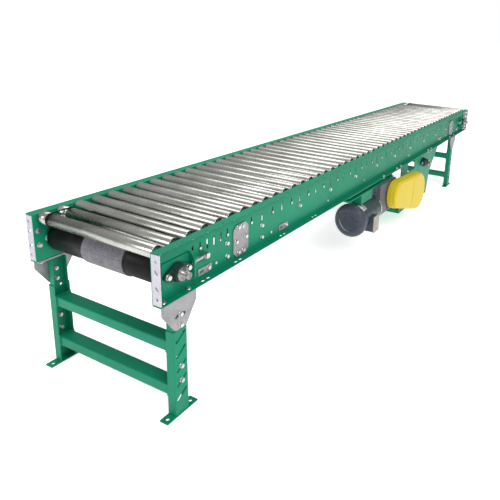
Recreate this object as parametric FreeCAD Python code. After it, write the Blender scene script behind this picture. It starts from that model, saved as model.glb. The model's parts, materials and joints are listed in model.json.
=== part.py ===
"""Belt-driven live-roller conveyor section with a centre drive, on two adjustable supports.

Millimetres, +Z up. +X runs along the bed from the near end to the far end, and the drive
side (right) is at -Y. Shapes are drawn about the middle of the bed. export() then moves them,
so that the origin is on the floor, on the centre line and midway between the two supports.
"""
import FreeCAD, Part
import math
import os

V = FreeCAD.Vector

# ---------------------------------------------------------------- driving dimensions
BED_LENGTH = 3962.4          # 13 ft
RAIL_TOP = 647.7             # height of the channel tops above the floor
CHANNEL_HEIGHT = 190.5
CHANNEL_FLANGE = 38.1
CHANNEL_GAUGE = 2.7
BETWEEN_RAILS = 584.2        # between the inner faces of the two webs

ROLLER_RADIUS = 24.13        # 1.9 in rollers
ROLLER_PITCH = 76.2
ROLLER_COUNT = 52
ROLLER_LENGTH = 566.0
ROLLER_WALL = 1.6
ROLLER_DROP = 17.8           # tread roller axis below the rail top
SEPARATE_ROLLERS = 8         # tread rollers that are sub-parts of their own
HEX_AXLE = 11.1              # across flats
AXLE_BORE = 13.6
AXLE_OVERHANG = 3.2

BELT_THICKNESS = 4.0
BELT_WIDTH = 203.2
BELT_TRACK = -12.7           # the belt tracks a little towards the drive side
BELT_GAP = 0.4               # running gap between the belt and what it passes over
PRESSURE_FIRST = 228.6       # first pressure roller, from the end of the bed
PRESSURE_PITCH = 152.4
PRESSURE_COUNT = 24
IDLER_DROP = 159.0           # return idler axis below the rail top
IDLER_PLACES = (311.2, 674.7, 1193.8, 1651.0, 3287.7, 3651.2)
SPREADER_FIRST = 914.4       # cross rods between the two belt runs
SPREADER_PITCH = 304.8
SPREADER_COUNT = 8
SPREADER_DROP = 105.0
SPREADER_RADIUS = 9.5

END_PULLEY_RADIUS = 60.3
END_PULLEY_INSET = 101.6
END_PULLEY_LENGTH = 560.0
END_SHAFT_RADIUS = 12.7
SCREW_RISE = 10.0            # take-up screw above the pulley axis
EAR_PLACE = 164.5            # bent ear of the take-up plate, from the end of the bed

DRIVE_PULLEY_PLACE = 2372.0  # from the near end
DRIVE_PULLEY_DROP = 390.0
DRIVE_PULLEY_RADIUS = 101.6
DRIVE_PULLEY_LENGTH = 260.0
DRIVE_SHAFT_RADIUS = 15.9
TAKE_UP_PLACE = 2775.0
TAKE_UP_DROP = 276.0
TAKE_UP_RADIUS = 50.8
SNUB_PLACE = 2092.0
SNUB_DROP = 248.0
SNUB_RADIUS = 30.0

OUTPUT_PLACE = 1985.0
OUTPUT_DROP = 318.0
WORM_CENTRES = 44.0
MOTOR_FRONT = 1463.0
MOTOR_SHELL = 1508.0
MOTOR_FACE = 1785.0
REDUCER_END = 2055.0
DRIVE_BOX_START = 2300.0
DRIVE_BOX_END = 2928.0
DRIVE_BOX_DROP = 560.0
CHAIN_PITCH = 15.875
DRIVER_TEETH = 18
DRIVEN_TEETH = 36
CHAIN_OUT = 88.0             # chain centre line outside the right web
GUARD_BACK = 57.0
GUARD_FRONT = 120.0

SUPPORT_INSET = 88.9         # near support centre line from the near end
FAR_SUPPORT_INSET = 444.5    # far support centre line from the far end
LEG_WIDTH = 66.7
LEG_DEPTH = 34.9
LEG_OUT = 28.6               # outer face of the lower legs outside the web
LOWER_LEG_TOP = 336.5
UPPER_LEG_BOTTOM = 115.0
FOOT_LENGTH = 152.4
FOOT_WIDTH = 38.1
FOOT_THICKNESS = 4.8
FOOT_HOLE_SPACING = 114.3
FOOT_HOLE_RADIUS = 7.0
LEG_SLOT_TOP = 307.0
LEG_SLOT_PITCH = 57.15
LEG_SLOTS = 5
CROSS_WIDTH = 57.15
CROSS_DEPTH = 38.1
CROSS_TOPS = (("upper", 292.1), ("lower", 117.5))

COVER_INSET = 459.0
BRACE_PLACES = (377.8, 606.4)
COUPLING_LEG = 35.4
COUPLING_THICKNESS = 4.8
COUPLING_HOLE_DROPS = (28.6, 161.9)
COUPLING_HOLE_RADIUS = 5.6
COUPLING_SLOT_DROPS = (66.7, 123.8)

BOLT = 9.5                   # 3/8 in bolts
BOLT_CLEARANCE = 0.45

# ---------------------------------------------------------------- derived places
HALF = BED_LENGTH / 2
WEB_IN = BETWEEN_RAILS / 2
WEB_OUT = WEB_IN + CHANNEL_GAUGE
TIP = WEB_IN + CHANNEL_FLANGE
RAIL_BOTTOM = RAIL_TOP - CHANNEL_HEIGHT
ROLLER_Z = RAIL_TOP - ROLLER_DROP
BELT_UNDER = ROLLER_Z - ROLLER_RADIUS - BELT_GAP - BELT_THICKNESS
PRESSURE_Z = BELT_UNDER - BELT_GAP - ROLLER_RADIUS
END_PULLEY_Z = BELT_UNDER - BELT_GAP - END_PULLEY_RADIUS
IDLER_Z = RAIL_TOP - IDLER_DROP
OUTPUT_Z = RAIL_TOP - OUTPUT_DROP
MOTOR_Z = OUTPUT_Z - WORM_CENTRES
DRIVER_RADIUS = CHAIN_PITCH / (2 * math.sin(math.pi / DRIVER_TEETH))
DRIVEN_RADIUS = CHAIN_PITCH / (2 * math.sin(math.pi / DRIVEN_TEETH))


def along(distance):
    """X of a point at this distance from the near end."""
    return distance - HALF


def down(drop):
    """Z of a point this far below the rail top."""
    return RAIL_TOP - drop


# ---------------------------------------------------------------- drawing helpers
PLANES = {
    "xz": (lambda u, v, w: V(u, w, v), V(0, 1, 0)),
    "yz": (lambda u, v, w: V(w, u, v), V(1, 0, 0)),
    "xy": (lambda u, v, w: V(u, v, w), V(0, 0, 1)),
}


def rounded_wire(corners, place):
    """A closed wire through corners (u, v, radius), each rounded by its radius."""
    runs = []
    count = len(corners)
    for i, (u, v, radius) in enumerate(corners):
        before = corners[i - 1]
        after = corners[(i + 1) % count]
        a = V(before[0] - u, before[1] - v, 0)
        b = V(after[0] - u, after[1] - v, 0)
        a.normalize()
        b.normalize()
        here = V(u, v, 0)
        if radius <= 0:
            runs.append((here, None, here))
            continue
        half = a.getAngle(b) / 2
        reach = radius / math.tan(half)
        middle = (a + b).normalize()
        centre = here + middle * (radius / math.sin(half))
        runs.append((here + a * reach, centre - middle * radius, here + b * reach))
    edges = []
    for i, (start, middle, end) in enumerate(runs):
        if middle is not None:
            arc = Part.Arc(place(start.x, start.y), place(middle.x, middle.y), place(end.x, end.y))
            edges.append(arc.toShape())
        following = runs[(i + 1) % count][0]
        if end.distanceToPoint(following) > 1e-6:
            edges.append(Part.makeLine(place(end.x, end.y), place(following.x, following.y)))
    return Part.Wire(edges)


def prism(corners, plane, start, thickness):
    """A rounded polygon (u, v, radius) extruded from start along the plane's normal."""
    place, normal = PLANES[plane]
    wire = rounded_wire(corners, lambda u, v: place(u, v, start))
    return Part.Face(wire).extrude(normal * thickness)


def loop_wire(circles, place):
    """A taut loop round circles (u, v, radius, side): side 1 is inside the loop, -1 outside.

    The circles are listed clockwise.
    """
    tangents = []
    count = len(circles)
    for i in range(count):
        u1, v1, r1, s1 = circles[i]
        u2, v2, r2, s2 = circles[(i + 1) % count]
        span = math.hypot(u2 - u1, v2 - v1)
        heading = math.atan2(v2 - v1, u2 - u1)
        turn = math.asin((s2 * r2 - s1 * r1) / span)
        normal = heading + math.pi / 2 + turn
        step = (math.cos(normal), math.sin(normal))
        leave = (u1 + s1 * r1 * step[0], v1 + s1 * r1 * step[1])
        arrive = (u2 + s2 * r2 * step[0], v2 + s2 * r2 * step[1])
        tangents.append((leave, arrive))
    edges = []
    for i, (leave, arrive) in enumerate(tangents):
        edges.append(Part.makeLine(place(*leave), place(*arrive)))
        u, v, radius, side = circles[(i + 1) % count]
        onward = tangents[(i + 1) % count][0]
        begin = math.atan2(arrive[1] - v, arrive[0] - u)
        finish = math.atan2(onward[1] - v, onward[0] - u)
        sweep = (begin - finish) * side
        while sweep < 0:
            sweep += 2 * math.pi
        middle = begin - side * sweep / 2
        through = (u + radius * math.cos(middle), v + radius * math.sin(middle))
        arc = Part.Arc(place(*arrive), place(*through), place(*onward))
        edges.append(arc.toShape())
    return Part.Wire(edges)


def loop_prism(circles, start, thickness):
    """The area inside a taut loop in the XZ plane, extruded along +Y."""
    wire = loop_wire(circles, lambda u, v: V(u, start, v))
    return Part.Face(wire).extrude(V(0, thickness, 0))


def box(x0, x1, y0, y1, z0, z1):
    return Part.makeBox(x1 - x0, y1 - y0, z1 - z0, V(x0, y0, z0))


def rod(x, y0, y1, z, radius):
    """A cylinder along Y."""
    return Part.makeCylinder(radius, y1 - y0, V(x, y0, z), V(0, 1, 0))


def hexagon(u, v, across):
    """Corners of a hexagon with this size across its flats."""
    radius = across / math.sqrt(3)
    angles = [math.radians(60 * i) for i in range(6)]
    return [(u + radius * math.cos(a), v + radius * math.sin(a), 0) for a in angles]


def hex_rod(x, y0, y1, z, across):
    return prism(hexagon(x, z, across), "xz", y0, y1 - y0)


def stadium(u0, v0, u1, v1, width):
    """Corners of a round-ended slot between two centres."""
    length = math.hypot(u1 - u0, v1 - v0)
    radius = width / 2
    a = ((u1 - u0) / length, (v1 - v0) / length)
    n = (-a[1], a[0])
    ends = ((u0, v0, -1, 1), (u1, v1, 1, 1), (u1, v1, 1, -1), (u0, v0, -1, -1))
    return [(u + radius * (i * a[0] + j * n[0]), v + radius * (i * a[1] + j * n[1]), radius * 0.999)
            for u, v, i, j in ends]


def rectangle(u0, u1, v0, v1, radius):
    return [(u0, v0, radius), (u1, v0, radius), (u1, v1, radius), (u0, v1, radius)]


def channel_outline(height, flange, gauge):
    """A bent C: the web on u from 0 to gauge, both flanges towards +u."""
    outer = gauge * 2
    inner = gauge
    return [(0, 0, outer), (flange, 0, 0), (flange, gauge, 0), (gauge, gauge, inner),
            (gauge, height - gauge, inner), (flange, height - gauge, 0), (flange, height, 0),
            (0, height, outer)]


def mirrored_y(shape):
    return shape.mirror(V(0, 0, 0), V(0, 1, 0))


def mirrored_x(shape):
    return shape.mirror(V(0, 0, 0), V(1, 0, 0))


def both_sides(shapes):
    return shapes + [mirrored_y(s) for s in shapes]


def four_ways(shapes):
    sides = both_sides(shapes)
    return sides + [mirrored_x(s) for s in sides]


def at_far_support(shape):
    """A near support piece turned round and moved to the far support."""
    return mirrored_x(shape).translated(V(SUPPORT_INSET - FAR_SUPPORT_INSET, 0, 0))


def at_supports(shapes):
    sides = both_sides(shapes)
    return sides + [at_far_support(s) for s in sides]


def fused(first, *others):
    return first.fuse(list(others)).removeSplitter()


def bolt(head, outward, grip, size=BOLT):
    """A hex flange bolt with its nut: the head's bearing face is at head, looking outward."""
    head_height = 0.75 * size
    nut_height = 0.85 * size
    across = 1.5 * size
    turn = FreeCAD.Rotation(V(0, 0, 1), outward)
    flat = [(x, y, 0) for x, y, _ in hexagon(0, 0, across)]
    cap = prism(flat, "xy", 0, head_height)
    nut = prism(flat, "xy", -grip - nut_height, nut_height)
    shank = Part.makeCylinder(size / 2, grip + nut_height + 4, V(0, 0, -grip - nut_height - 3))
    rims = [Part.makeCone(1.05 * size, 0.9 * size, 0.2 * size, V(0, 0, 0)),
            Part.makeCone(0.9 * size, 1.05 * size, 0.2 * size, V(0, 0, -grip - 0.2 * size))]
    whole = fused(cap, nut, shank, *rims)
    whole.Placement = FreeCAD.Placement(head, turn)
    return whole


def cap_screw(head, outward, length, size=BOLT):
    """A hex flange screw without a nut: the head's bearing face is at head."""
    flat = [(x, y, 0) for x, y, _ in hexagon(0, 0, 1.5 * size)]
    rim = Part.makeCone(1.05 * size, 0.9 * size, 0.2 * size, V(0, 0, 0))
    shank = Part.makeCylinder(size / 2, length + 1, V(0, 0, -length))
    whole = fused(prism(flat, "xy", 0, 0.75 * size), shank, rim)
    whole.Placement = FreeCAD.Placement(head, FreeCAD.Rotation(V(0, 0, 1), outward))
    return whole


def bolt_hole(x, z, y0, y1, size=BOLT):
    return rod(x, y0, y1, z, size / 2 + BOLT_CLEARANCE)


# ---------------------------------------------------------------- places of the web features
def web_bolt_places():
    """(distance from the end, drop) of the plain bolts through each web, near end only."""
    places = []
    for place in BRACE_PLACES:
        places.append((place, 105.0))
        places.append((place, 158.0))
    return places


def spreader_places():
    return [(SPREADER_FIRST + SPREADER_PITCH * i, SPREADER_DROP) for i in range(SPREADER_COUNT)]


def single_web_bolt_places():
    """(distance from the near end, drop) of the bolts of the cross rods and of two stray brackets."""
    return spreader_places() + [(2413.0, 155.0), (3140.0, 155.0)]


def coupling_bolt_places():
    return [(19.0, 68.0), (19.0, 124.5)]


def cover_bolt_places():
    offsets = ((-17, 60), (8, 62), (31, 113), (-31, 117), (-17, 165), (13, 166))
    return [(COVER_INSET + dx, drop) for dx, drop in offsets]


def flange_bolt_places():
    """Distances from the near end of the bolts that hold the drive plates' top flanges."""
    return (1905.0, 2135.0, 2210.0, 2815.0, 2890.0)


def keyhole(distance):
    """A pressure roller's keyhole: a slot with a round seat below it."""
    x = along(distance)
    seat = rod(x, -TIP, -WEB_IN + 1, PRESSURE_Z, 8.5)
    slot = prism(stadium(x, down(50), x, PRESSURE_Z, 7.0), "xz", -TIP, CHANNEL_FLANGE + 1)
    return fused(seat, slot)


def straight_slot(distance, top=52.0, bottom=82.0):
    x = along(distance)
    return prism(stadium(x, down(bottom), x, down(top), 8.0), "xz", -TIP, CHANNEL_FLANGE + 1)


def web_cuts():
    """Everything that is cut from the right web. The left web is its mirror image."""
    cuts = []
    for i in range(ROLLER_COUNT):
        x = along(ROLLER_PITCH * (i + 0.5))
        cuts.append(hex_rod(x, -WEB_OUT - 1, -WEB_IN + 1, ROLLER_Z, HEX_AXLE + 0.4))
    for i in range(2 * PRESSURE_COUNT - 1):
        distance = PRESSURE_FIRST + PRESSURE_PITCH / 2 * i
        cuts.append(keyhole(distance) if i % 2 == 0 else straight_slot(distance))
    for distance in (190.5, 266.7, 342.9):
        bottom = 64.0 if distance < PRESSURE_FIRST else 82.0
        cuts.append(straight_slot(distance, 52.0, bottom))
        cuts.append(straight_slot(BED_LENGTH - distance, 52.0, bottom))
    for distance in IDLER_PLACES:
        cuts.append(hex_rod(along(distance), -WEB_OUT - 1, -WEB_IN + 1, IDLER_Z, HEX_AXLE + 0.4))
    for distance, drop in web_bolt_places() + coupling_bolt_places() + cover_bolt_places():
        for x in (along(distance), -along(distance)):
            cuts.append(bolt_hole(x, down(drop), -WEB_OUT - 1, -WEB_IN + 1))
    for distance, drop in single_web_bolt_places():
        cuts.append(bolt_hole(along(distance), down(drop), -WEB_OUT - 1, -WEB_IN + 1))
    for sign in (1, -1):
        x = sign * along(END_PULLEY_INSET)
        cuts.append(prism(stadium(x - 22, END_PULLEY_Z, x + 22, END_PULLEY_Z, 50), "xz",
                          -WEB_OUT - 1, CHANNEL_GAUGE + 2))
        for reach in bearing_bolt_offsets():
            cuts.append(bolt_hole(x + reach, END_PULLEY_Z, -WEB_OUT - 1, -WEB_IN + 1, 11.0))
        for distance in take_up_bolt_places():
            cuts.append(bolt_hole(sign * along(distance), down(159.0), -WEB_OUT - 1, -WEB_IN + 1))
    return cuts


def flange_cuts():
    """Bolt holes down through the bottom flange of the right channel."""
    cuts = []
    radius = BOLT / 2 + BOLT_CLEARANCE
    for distance in flange_bolt_places():
        cuts.append(Part.makeCylinder(radius, 6, V(along(distance), -WEB_OUT - 22, RAIL_BOTTOM - 1)))
    for middle in (along(SUPPORT_INSET), -along(FAR_SUPPORT_INSET)):
        for reach in (-58.7, 58.7):
            cuts.append(Part.makeCylinder(radius, 6, V(middle + reach, -WEB_OUT - 16, RAIL_BOTTOM - 1)))
    for distance in (233.0, 422.0, 741.0, 1024.0):
        for x in (along(distance), -along(distance)):
            for reach in (-14, 14):
                slot = stadium(x + reach - 4, -WEB_OUT - 18, x + reach + 4, -WEB_OUT - 18, 9)
                cuts.append(prism(slot, "xy", RAIL_BOTTOM - 1, 5))
    for distance in (114.0, 238.0, 325.0, 388.0, 765.0):
        for x in (along(distance), -along(distance)):
            cuts.append(Part.makeCylinder(4.5, 6, V(x, -WEB_OUT - 24, RAIL_TOP - 4)))
    return cuts


def side_channel():
    outline = [(-WEB_IN - u, RAIL_BOTTOM + v, r)
               for u, v, r in channel_outline(CHANNEL_HEIGHT, CHANNEL_FLANGE, CHANNEL_GAUGE)]
    blank = prism(outline, "yz", -HALF, BED_LENGTH)
    return blank.cut(web_cuts() + flange_cuts())


# ---------------------------------------------------------------- bed pieces
def end_coupling():
    """The near right coupling angle: one leg flush with the end, one against the web."""
    bottom = RAIL_BOTTOM + 2 * CHANNEL_GAUGE + 0.2
    top = RAIL_TOP - 2 * CHANNEL_GAUGE - 0.2
    y0 = -WEB_OUT - COUPLING_LEG + 0.4
    across = box(-HALF, -HALF + COUPLING_THICKNESS, y0, -WEB_OUT, bottom, top)
    inward = box(-HALF, -HALF + 29, -WEB_OUT - COUPLING_THICKNESS, -WEB_OUT, bottom, top)
    angle = fused(across, inward)
    cuts = []
    y = -WEB_OUT - 20
    for drop in COUPLING_SLOT_DROPS:
        slot = stadium(y - 3.5, down(drop) - 3.5, y + 3.5, down(drop) + 3.5, 9.0)
        cuts.append(prism(slot, "yz", -HALF - 1, COUPLING_THICKNESS + 2))
    for drop in COUPLING_HOLE_DROPS:
        hole = V(-HALF - 1, y, down(drop))
        cuts.append(Part.makeCylinder(COUPLING_HOLE_RADIUS, COUPLING_THICKNESS + 2, hole, V(1, 0, 0)))
    for distance, drop in coupling_bolt_places():
        cuts.append(bolt_hole(along(distance), down(drop), y0 - 1, -WEB_OUT + 1))
    return angle.cut(cuts)


def cross_brace(distance):
    """A bent channel under the return belt, with a bolting tab at each web."""
    x = along(distance)
    height = 44.0
    outline = [(x - 19 + u, RAIL_BOTTOM + 4 + v, r) for u, v, r in channel_outline(height, 38.0, 2.7)]
    bar = prism(outline, "xz", -WEB_IN, BETWEEN_RAILS)
    tabs = []
    for y0, y1 in ((-WEB_IN, -WEB_IN + 4), (WEB_IN - 4, WEB_IN)):
        tab = prism(rectangle(x - 19, x + 19, RAIL_BOTTOM + 4, down(92), 3), "xz", y0, y1 - y0)
        tabs.append(tab)
    holes = []
    for drop in (105.0, 158.0):
        holes.append(bolt_hole(x, down(drop), -WEB_IN - 1, WEB_IN + 1))
    return fused(bar, *tabs).cut(holes)


def spreader(index):
    """A cross rod, tapped at both ends for the bolts through the webs."""
    x = along(SPREADER_FIRST + SPREADER_PITCH * index)
    bar = rod(x, -WEB_IN, WEB_IN, down(SPREADER_DROP), SPREADER_RADIUS)
    tapped = BOLT / 2 + BOLT_CLEARANCE
    return bar.cut([rod(x, -WEB_IN - 1, -WEB_IN + 22, down(SPREADER_DROP), tapped),
                    rod(x, WEB_IN - 22, WEB_IN + 1, down(SPREADER_DROP), tapped)])


def web_cover():
    """The chamfered plate bolted over the near right web."""
    left = along(COVER_INSET - 47.6)
    right = along(COVER_INSET + 47.6)
    top = down(49)
    bottom = down(181)
    cut = 19.0
    corners = [(left, bottom + cut, 3), (left + cut, bottom, 3), (right - cut, bottom, 3),
               (right, bottom + cut, 3), (right, top - cut, 3), (right - cut, top, 3),
               (left + cut, top, 3), (left, top - cut, 3)]
    plate = prism(corners, "xz", -WEB_OUT - 4.8, 4.8)
    holes = []
    for distance, drop in cover_bolt_places():
        holes.append(bolt_hole(along(distance), down(drop), -WEB_OUT - 6, -WEB_OUT + 1))
    return plate.cut(holes)


def roller(x, z, length=ROLLER_LENGTH, groove_y=None):
    """A tube with a pressed-in bearing at each end, bored for its hex axle."""
    half = length / 2
    tube = rod(x, -half, half, z, ROLLER_RADIUS)
    tube = tube.cut([rod(x, -half + 14, half - 14, z, ROLLER_RADIUS - ROLLER_WALL)])
    recess = 1.5
    for y0 in (-half - 1, half - recess):
        ring = rod(x, y0, y0 + recess + 1, z, ROLLER_RADIUS - 2.2)
        hub = rod(x, y0, y0 + recess + 1, z, 10.5)
        tube = tube.cut([ring.cut([hub])])
    bores = [rod(x, -half - 1, half + 1, z, AXLE_BORE / 2)]
    if groove_y is not None:
        collar = rod(x, groove_y - 6, groove_y + 6, z, ROLLER_RADIUS - 1)
        tube = fused(tube, collar)
        bores.append(Part.makeTorus(ROLLER_RADIUS + 0.6, 3.0, V(x, groove_y, z), V(0, 1, 0)))
    return tube.cut(bores)


def roller_axle(x, z):
    reach = WEB_OUT + AXLE_OVERHANG
    return hex_rod(x, -reach, reach, z, HEX_AXLE)


def belt_circles():
    """Pulleys and idlers that turn the belt, clockwise from the near end pulley."""
    far = BED_LENGTH - END_PULLEY_INSET
    idlers = sorted(IDLER_PLACES, reverse=True)
    rounds = [(END_PULLEY_INSET, END_PULLEY_Z, END_PULLEY_RADIUS, 1),
              (far, END_PULLEY_Z, END_PULLEY_RADIUS, 1),
              (idlers[0], IDLER_Z, ROLLER_RADIUS, -1),
              (idlers[1], IDLER_Z, ROLLER_RADIUS, -1),
              (TAKE_UP_PLACE, down(TAKE_UP_DROP), TAKE_UP_RADIUS, -1),
              (DRIVE_PULLEY_PLACE, down(DRIVE_PULLEY_DROP), DRIVE_PULLEY_RADIUS, 1),
              (SNUB_PLACE, down(SNUB_DROP), SNUB_RADIUS, -1),
              (idlers[2], IDLER_Z, ROLLER_RADIUS, -1),
              (idlers[5], IDLER_Z, ROLLER_RADIUS, -1)]
    return [(along(d), z, r + BELT_GAP, side) for d, z, r, side in rounds]


def conveyor_belt():
    inside = []
    outside = []
    for x, z, r, side in belt_circles():
        inside.append((x, z, r if side > 0 else r + BELT_THICKNESS, side))
        outside.append((x, z, r + BELT_THICKNESS if side > 0 else r, side))
    edge = BELT_TRACK - BELT_WIDTH / 2
    whole = loop_prism(outside, edge, BELT_WIDTH)
    hollow = loop_prism(inside, edge - 1, BELT_WIDTH + 2)
    return whole.cut([hollow])


def slave_band(first_x, y):
    """The round band that turns an end roller from its neighbour."""
    radius = ROLLER_RADIUS + 0.6
    cord = 2.5
    x1 = first_x
    x2 = first_x + ROLLER_PITCH
    left = Part.makeTorus(radius, cord, V(x1, y, ROLLER_Z), V(0, 1, 0))
    right = Part.makeTorus(radius, cord, V(x2, y, ROLLER_Z), V(0, 1, 0))
    tall = radius + cord + 1
    left = left.common(box(x1 - tall, x1, y - 5, y + 5, ROLLER_Z - tall, ROLLER_Z + tall))
    right = right.common(box(x2, x2 + tall, y - 5, y + 5, ROLLER_Z - tall, ROLLER_Z + tall))
    runs = []
    for side in (1, -1):
        start = V(x1, y, ROLLER_Z + side * radius)
        runs.append(Part.makeCylinder(cord, ROLLER_PITCH, start, V(1, 0, 0)))
    return fused(left, right, *runs)


# ---------------------------------------------------------------- supports
def lower_leg():
    """The near right lower leg: an open channel welded to its floor plate."""
    x0 = along(SUPPORT_INSET) - LEG_WIDTH / 2
    face = -WEB_OUT - LEG_OUT
    outline = [(x0 + v, face + u, r) for u, v, r in channel_outline(LEG_WIDTH, LEG_DEPTH, 2.7)]
    leg = prism(outline, "xy", FOOT_THICKNESS, LOWER_LEG_TOP - FOOT_THICKNESS)
    middle = along(SUPPORT_INSET)
    foot_y = face - 2
    foot = prism(rectangle(middle - FOOT_LENGTH / 2, middle + FOOT_LENGTH / 2,
                           foot_y, foot_y + FOOT_WIDTH, 2), "xy", 0, FOOT_THICKNESS)
    cuts = []
    for reach in (-FOOT_HOLE_SPACING / 2, FOOT_HOLE_SPACING / 2):
        hole = V(middle + reach, foot_y + FOOT_WIDTH / 2, -1)
        cuts.append(Part.makeCylinder(FOOT_HOLE_RADIUS, FOOT_THICKNESS + 2, hole))
    for i in range(LEG_SLOTS):
        z = LEG_SLOT_TOP - LEG_SLOT_PITCH * i
        slot = stadium(middle - 19, z - 14, middle + 19, z + 14, 10.4)
        cuts.append(prism(slot, "xz", face - 1, 5))
    return fused(leg, foot).cut(cuts)


def leg_bolt_heights():
    return (LEG_SLOT_TOP - 2 * LEG_SLOT_PITCH, LEG_SLOT_TOP - 3 * LEG_SLOT_PITCH)


def bracket_bolt_heights():
    return (down(294.0), down(252.0))


def upper_leg():
    """The near right upper leg, which telescopes inside the lower one."""
    width = LEG_WIDTH - 2 * 2.7 - 0.9
    x0 = along(SUPPORT_INSET) - width / 2
    face = -WEB_OUT - LEG_OUT + 2.7 + 0.4
    outline = [(x0 + v, face + u, r) for u, v, r in channel_outline(width, 30.0, 2.7)]
    top = RAIL_BOTTOM - 12
    leg = prism(outline, "xy", UPPER_LEG_BOTTOM, top - UPPER_LEG_BOTTOM)
    holes = []
    for z in leg_bolt_heights() + bracket_bolt_heights():
        holes.append(bolt_hole(along(SUPPORT_INSET), z, face - 1, face + 5))
    for i in (0, 1, LEG_SLOTS - 1):
        z = LEG_SLOT_TOP - LEG_SLOT_PITCH * i
        holes.append(rod(along(SUPPORT_INSET) + 17, face - 1, face + 5, z + 12.5, 5.0))
        holes.append(rod(along(SUPPORT_INSET) - 17, face - 1, face + 5, z - 12.5, 5.0))
    return leg.cut(holes)


def pivot_bracket():
    """The near right bracket between the channel's bottom flange and the upper leg."""
    middle = along(SUPPORT_INSET)
    thickness = 6.35
    face = -WEB_OUT - LEG_OUT + 2.7 + 0.4
    wide = 79.4
    low = down(307.0)
    corners = [(middle - wide, RAIL_BOTTOM, 0), (middle - wide, down(228), 8),
               (middle - 26, low, 16), (middle + 26, low, 16),
               (middle + wide, down(228), 8), (middle + wide, RAIL_BOTTOM, 0)]
    leaf = prism(corners, "xz", face - thickness, thickness)
    shelf = box(middle - wide, middle + wide, face - thickness, -WEB_IN,
                RAIL_BOTTOM - thickness, RAIL_BOTTOM)
    bolt_low, bolt_high = bracket_bolt_heights()
    rise = bolt_high - bolt_low
    ring = rod(middle, face - 8, face + 1, bolt_low, rise + 5.4)
    ring = ring.cut([rod(middle, face - 9, face + 2, bolt_low, rise - 5.4)])
    wedge = prism([(middle, bolt_low, 0), (middle + 48, bolt_low + 70, 0),
                   (middle - 48, bolt_low + 70, 0)], "xz", face - 8, 9)
    cuts = [ring.common(wedge), bolt_hole(middle, bolt_low, face - 8, face + 1)]
    for reach in (-58.7, 58.7):
        hole = V(middle + reach, -WEB_OUT - 16, RAIL_BOTTOM - thickness - 1)
        cuts.append(Part.makeCylinder(BOLT / 2 + BOLT_CLEARANCE, thickness + 2, hole))
    return fused(leaf, shelf).cut(cuts)


def cross_member(top):
    """A downward channel between a pair of lower legs, with a welded plate at each end."""
    middle = along(SUPPORT_INSET)
    tip = WEB_OUT + LEG_OUT - LEG_DEPTH - 0.3
    outline = [(middle - CROSS_WIDTH / 2 + v, top - u, r)
               for u, v, r in channel_outline(CROSS_WIDTH, CROSS_DEPTH, 2.7)]
    bar = prism(outline, "xz", -tip + 4, 2 * tip - 8)
    plates = []
    for y0 in (-tip, tip - 4):
        plates.append(prism(rectangle(middle - LEG_WIDTH / 2, middle + LEG_WIDTH / 2,
                                      top - CROSS_DEPTH - 5, top + 5, 3), "xz", y0, 4))
    return fused(bar, *plates)


# ---------------------------------------------------------------- end pulleys and take-ups
def bearing_bolt_offsets():
    return (-47.5, 47.5)


def take_up_bolt_places():
    return (266.7, 788.4)


def take_up_plate():
    """The near right slide plate that carries the pulley bearing, with its bent ear."""
    y0 = -WEB_OUT - 4.8
    x0 = along(38)
    x1 = along(EAR_PLACE) + 4.8
    plate = prism(rectangle(x0, x1, down(152), down(60), 6), "xz", y0, 4.8)
    ear = prism([(-WEB_OUT, down(152), 0), (-WEB_OUT, down(58), 3), (-WEB_OUT - 10, down(58), 3),
                 (-WEB_OUT - 30, down(78), 4), (-WEB_OUT - 30, down(152), 4)], "yz", x1 - 4.8, 4.8)
    x = along(END_PULLEY_INSET)
    cuts = [rod(x, y0 - 1, -WEB_OUT + 1, END_PULLEY_Z, 23),
            Part.makeCylinder(6.0, 20, V(x1 - 12, -WEB_OUT - 18, END_PULLEY_Z + SCREW_RISE), V(1, 0, 0))]
    for reach in bearing_bolt_offsets():
        cuts.append(bolt_hole(x + reach, END_PULLEY_Z, y0 - 1, -WEB_OUT + 1, 11.0))
    return fused(plate, ear).cut(cuts)


def anchor_plate(distance):
    """A small slotted plate on the web beside a take-up."""
    x0 = along(distance - 55)
    x1 = along(distance + 18)
    plate = prism(rectangle(x0, x1, down(175), down(147), 5), "xz", -WEB_OUT - 3.4, 3.4)
    slot = prism(stadium(x0 + 12, down(161), x0 + 26, down(161), 9), "xz", -WEB_OUT - 5, 6)
    hole = bolt_hole(along(distance), down(159.0), -WEB_OUT - 5, -WEB_OUT + 1)
    return plate.cut([slot, hole])


def take_up_screw():
    """The near right adjusting screw with its two nuts and the block it turns in."""
    y = -WEB_OUT - 18
    ear = along(EAR_PLACE)
    rod_end = along(250)
    height = END_PULLEY_Z + SCREW_RISE
    screw = Part.makeCylinder(5.0, rod_end - ear + 7, V(ear - 1, y, height), V(1, 0, 0))
    pieces = []
    for x in (ear + 5.2, rod_end - 27):
        nut = prism(hexagon(y, height, 17), "yz", x, 8.2)
        pieces.append(nut)
    block = prism(rectangle(y - 10, -WEB_OUT, height - 10, height + 10, 2), "yz",
                  rod_end - 18, 16)
    return fused(screw, block, *pieces)


def flange_bearing(x, z, back, reach=47.5):
    """A two-bolt cast flange housing on the face y = back, looking towards -Y."""
    lobes = [(x - reach, z, 13.5, 1), (x, z, 34.0, 1), (x + reach, z, 13.5, 1), (x, z, 34.0, 1)]
    outline = loop_prism(lobes_hull(lobes), back - 13, 13)
    boss = Part.makeCone(33.0, 29.0, 17, V(x, back - 12, z), V(0, -1, 0))
    nipple = Part.makeCylinder(3.2, 12, V(x - 17, back - 20, z + 20), V(-0.7, 0, 0.7))
    body = fused(outline, boss, nipple)
    cuts = [rod(x, back - 32, back + 1, z, 23.0)]
    for side in (-reach, reach):
        cuts.append(bolt_hole(x + side, z, back - 14, back + 1, 11.0))
    return body.cut(cuts)


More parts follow.
